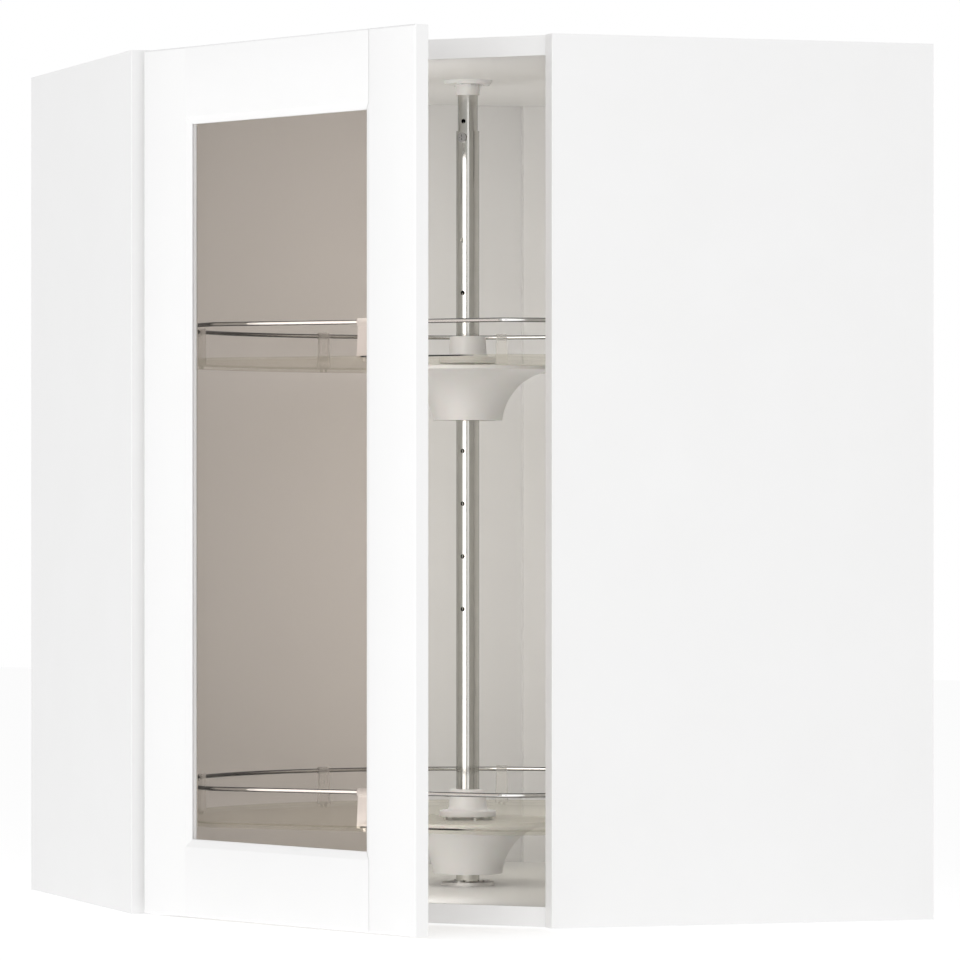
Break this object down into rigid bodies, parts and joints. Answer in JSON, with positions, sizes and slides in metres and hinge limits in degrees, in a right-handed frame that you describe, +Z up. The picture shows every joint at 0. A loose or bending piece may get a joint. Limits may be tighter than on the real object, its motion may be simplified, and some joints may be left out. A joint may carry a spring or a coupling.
{
  "type": "corner wall cabinet with glass door and carousel",
  "caption": "Corner kitchen wall cabinet with a framed glass door on its diagonal front and turning trays with wire rails on a central pole.",
  "frame": {"origin": "where the carousel's axis meets the underside of the bottom board", "axes": "+Z up along the pole, +Y from the pole to the corner between the two walls, so the diagonal front faces -Y; +X to the right as seen from the front"},
  "size_m": [0.9546, 0.9007, 0.8],
  "materials": {
    "white_board": "chipboard with a white melamine face, satin",
    "back_board": "thin fibreboard with a white face, matt",
    "white_door": "fibreboard with a white foil, satin",
    "glass": "clear tempered glass",
    "dark_seal": "dark soft strip",
    "ivory_plastic": "cream plastic, satin",
    "white_plastic": "moulded white plastic, slightly glossy",
    "tray_plastic": "moulded clear plastic, slightly milky, glossy",
    "white_screws": "white lacquer",
    "clear_pads": "clear soft pad",
    "chrome": "bright plating",
    "plated_steel": "nickel plated steel",
    "beech": "fluted beech, raw"
  },
  "bodies": {
    "carcass": {"left_side_panel": "white_board", "right_side_panel": "white_board", "top_panel": "white_board", "bottom_panel": "white_board", "left_back_panel": "back_board", "right_back_panel": "back_board", "left_corner_board": "white_board", "right_corner_board": "white_board", "cam_locks": "plated_steel", "cam_bolts": "plated_steel", "wood_dowels": "beech", "left_hanging_bracket": "plated_steel", "right_hanging_bracket": "plated_steel", "bracket_screws": "plated_steel", "hinge_plates": "plated_steel", "hinge_arms": "plated_steel", "plate_screws": "plated_steel", "pole_foot": "chrome", "foot_screws": "chrome", "pole_outer_tube": "chrome", "pole_inner_tube": "chrome", "pole_lock_screw": "plated_steel", "pole_socket": "white_plastic", "socket_screws": "white_screws", "upper_stop_collar": "white_plastic", "upper_stop_pin": "plated_steel", "upper_bearing_ring": "ivory_plastic", "lower_stop_collar": "white_plastic", "lower_stop_pin": "plated_steel", "lower_bearing_ring": "ivory_plastic"},
    "door": {"left_stile": "white_door", "right_stile": "white_door", "top_rail": "white_door", "bottom_rail": "white_door", "glass_pane": "glass", "glass_seal": "dark_seal", "glass_beads": "ivory_plastic", "hinge_cups": "plated_steel", "hinge_pins": "plated_steel", "cup_screws": "plated_steel", "door_pads": "clear_pads"},
    "upper_carousel": {"upper_tray": "tray_plastic", "upper_rail": "chrome", "upper_clips": "white_plastic", "upper_hub_cone": "white_plastic", "upper_hub_boss": "white_plastic", "upper_hub_screws": "plated_steel"},
    "lower_carousel": {"lower_tray": "tray_plastic", "lower_rail": "chrome", "lower_clips": "white_plastic", "lower_hub_cone": "white_plastic", "lower_hub_boss": "white_plastic", "lower_hub_screws": "plated_steel"}
  },
  "joints": [
    {"name": "door_hinge", "type": "hinge", "parent": "carcass", "child": "door", "pos_m": [-0.18999, -0.262, 0.4], "axis": [0, 0, -1], "range_deg": [-24, 76]},
    {"name": "upper_tray_spin", "type": "hinge", "parent": "carcass", "child": "upper_carousel", "pos_m": [0, 0, 0.51], "axis": [0, 0, 1], "range_deg": [-360, 360]},
    {"name": "lower_tray_spin", "type": "hinge", "parent": "carcass", "child": "lower_carousel", "pos_m": [0, 0, 0.08], "axis": [0, 0, 1], "range_deg": [-360, 360]}
  ]
}
